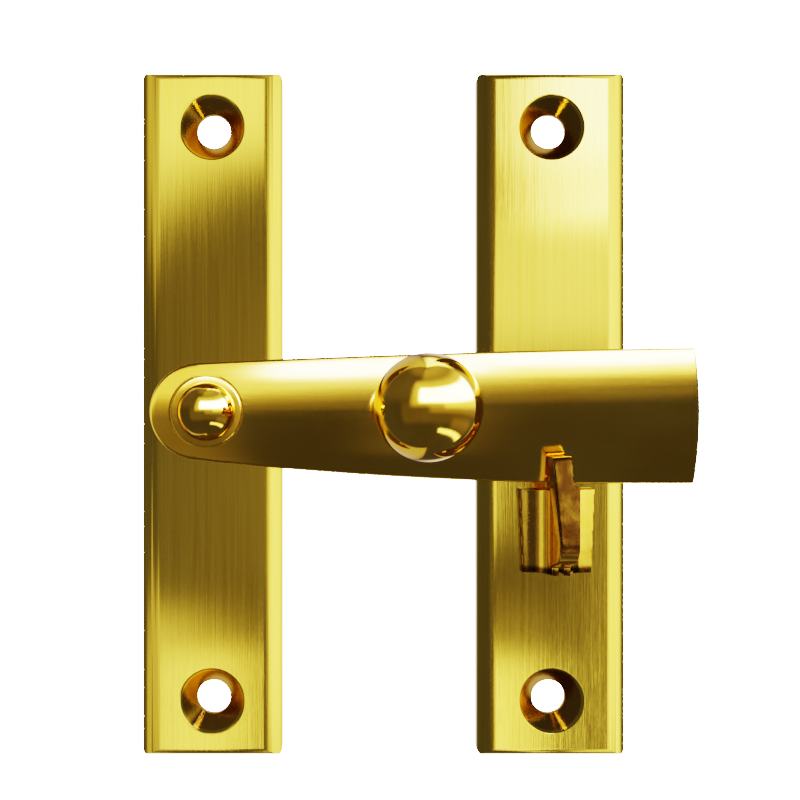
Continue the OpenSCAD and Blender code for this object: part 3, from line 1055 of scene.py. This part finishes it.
def studio_dome(name, radius, windows, room, pieces):
    """A clear dome round the latch, with windows of light that fall on some of its pieces only."""
    bpy.ops.mesh.primitive_ico_sphere_add(subdivisions=4, radius=radius)
    dome = bpy.context.object
    dome.name = name
    dome.visible_camera = False
    dome.visible_shadow = False
    material = bpy.data.materials.new(name)
    tree = Tree(material)
    toward = tree.node("VectorMath", {"operation": "NORMALIZE"}, {0: tree.place()}).out()
    parts = tree.node("SeparateXYZ", None, {0: toward})
    x, y, z = parts.out(0), parts.out(1), parts.out(2)
    degrees = math.degrees(1)
    across = x.math("ARCTAN2", y * -1) * degrees
    up = z.math("ARCSINE") * degrees
    level = room
    for left, right, low, high, soft, lean, strength in windows:
        window = tree.band(across, left, right, soft) * tree.band(up - across * lean, low, high, soft)
        level = level + window * strength
    tint = tree.mix(tree.spread(level, *DIM_TO_PLAIN), DIM_TINT, PLAIN_TINT)
    tint = tree.mix(tree.spread(level, *PLAIN_TO_BRIGHT), tint, BRIGHT_TINT)
    light = tree.node("Emission", None, {0: tint, 1: level}).out()
    clear = tree.node("BsdfTransparent").out()
    both = tree.node("AddShader", None, {0: light, 1: clear}).out()
    tree.node("OutputMaterial", None, {"Surface": both})
    dome.data.materials.append(material)
    lit = bpy.data.collections.new(name + "_receivers")
    for piece in pieces:
        lit.objects.link(bpy.data.objects[piece])
    dome.light_linking.receiver_collection = lit


def pale_floor(z):
    """A pale floor below everything that swings."""
    bpy.ops.mesh.primitive_plane_add(size=FLOOR_SIZE, location=(0, 0, z))
    floor = bpy.context.object
    floor.name = "floor"
    floor.visible_glossy = False
    floor.visible_diffuse = False
    material = bpy.data.materials.new("pale_floor")
    tree = Tree(material)
    glow = tree.node("Emission", None, {0: WHITE, 1: WHITE_LEVEL}).out()
    paint = tree.node("BsdfDiffuse", None, {0: FLOOR_PAINT}).out()
    both = tree.node("MixShader", None, {0: FLOOR_GLOW, 1: paint, 2: glow}).out()
    tree.node("OutputMaterial", None, {"Surface": both})
    floor.data.materials.append(material)


class LatchStage(Operator):
    """Sets up the floor, the light and the camera"""

    bl_idname = "scene.latch_stage"
    bl_label = "Studio"

    def execute(self, context):
        studio = context.scene.latch_studio
        studio_world()
        for dome in DOMES:
            studio_dome(*dome)
        swing = (BAR[1] - Vector((0, 0, BAR[0].z))).length
        pale_floor(-swing * FLOOR_CLEARANCE)
        camera_data = bpy.data.cameras.new("camera")
        camera_data.lens = studio.lens
        camera_data.shift_x = studio.shift_x
        camera_data.shift_y = studio.shift_y
        camera_data.clip_start = CLIP_START
        camera = bpy.data.objects.new("camera", camera_data)
        camera.location = (studio.camera_x, -studio.distance, studio.camera_z)
        camera.rotation_euler = (math.pi / 2, 0, 0)
        context.scene.collection.objects.link(camera)
        context.scene.camera = camera
        context.scene.view_settings.view_transform = "Filmic"
        context.scene.view_settings.look = "High Contrast"
        return {"FINISHED"}


class LatchPanel(Panel):
    """Lists the latch's pieces in the sidebar"""

    bl_idname = "VIEW3D_PT_latch"
    bl_label = "Throw-over latch"
    bl_space_type = "VIEW_3D"
    bl_region_type = "UI"
    bl_category = "Latch"

    def draw(self, context):
        for operator in BUILD_ORDER:
            self.layout.operator(operator.bl_idname)


BUILD_ORDER = (LatchPlates, LatchPivot, LatchBar, LatchKnob, LatchHook, LatchStage)

SETTINGS = {
    "latch_plates": LatchPlateSizes,
    "latch_pivot": LatchPivotSizes,
    "latch_bar": LatchBarSizes,
    "latch_knob": LatchKnobSizes,
    "latch_hook": LatchHookSizes,
    "latch_colours": LatchColours,
    "latch_studio": LatchStudio,
}


def register():
    """Registers the settings, the operators and the panel."""
    for name, group in SETTINGS.items():
        bpy.utils.register_class(group)
        setattr(bpy.types.Scene, name, PointerProperty(type=group))
    for operator in BUILD_ORDER:
        bpy.utils.register_class(operator)
    bpy.utils.register_class(LatchPanel)


def unregister():
    """Takes everything out again."""
    bpy.utils.unregister_class(LatchPanel)
    for operator in reversed(BUILD_ORDER):
        bpy.utils.unregister_class(operator)
    for name, group in reversed(SETTINGS.items()):
        delattr(bpy.types.Scene, name)
        bpy.utils.unregister_class(group)


def main():
    """Builds the latch and its studio."""
    register()
    bpy.ops.mesh.latch_plates()
    bpy.ops.mesh.latch_pivot()
    bpy.ops.mesh.latch_bar()
    bpy.ops.mesh.latch_knob()
    bpy.ops.mesh.latch_hook()
    bpy.ops.scene.latch_stage()


if __name__ == "__main__":
    main()
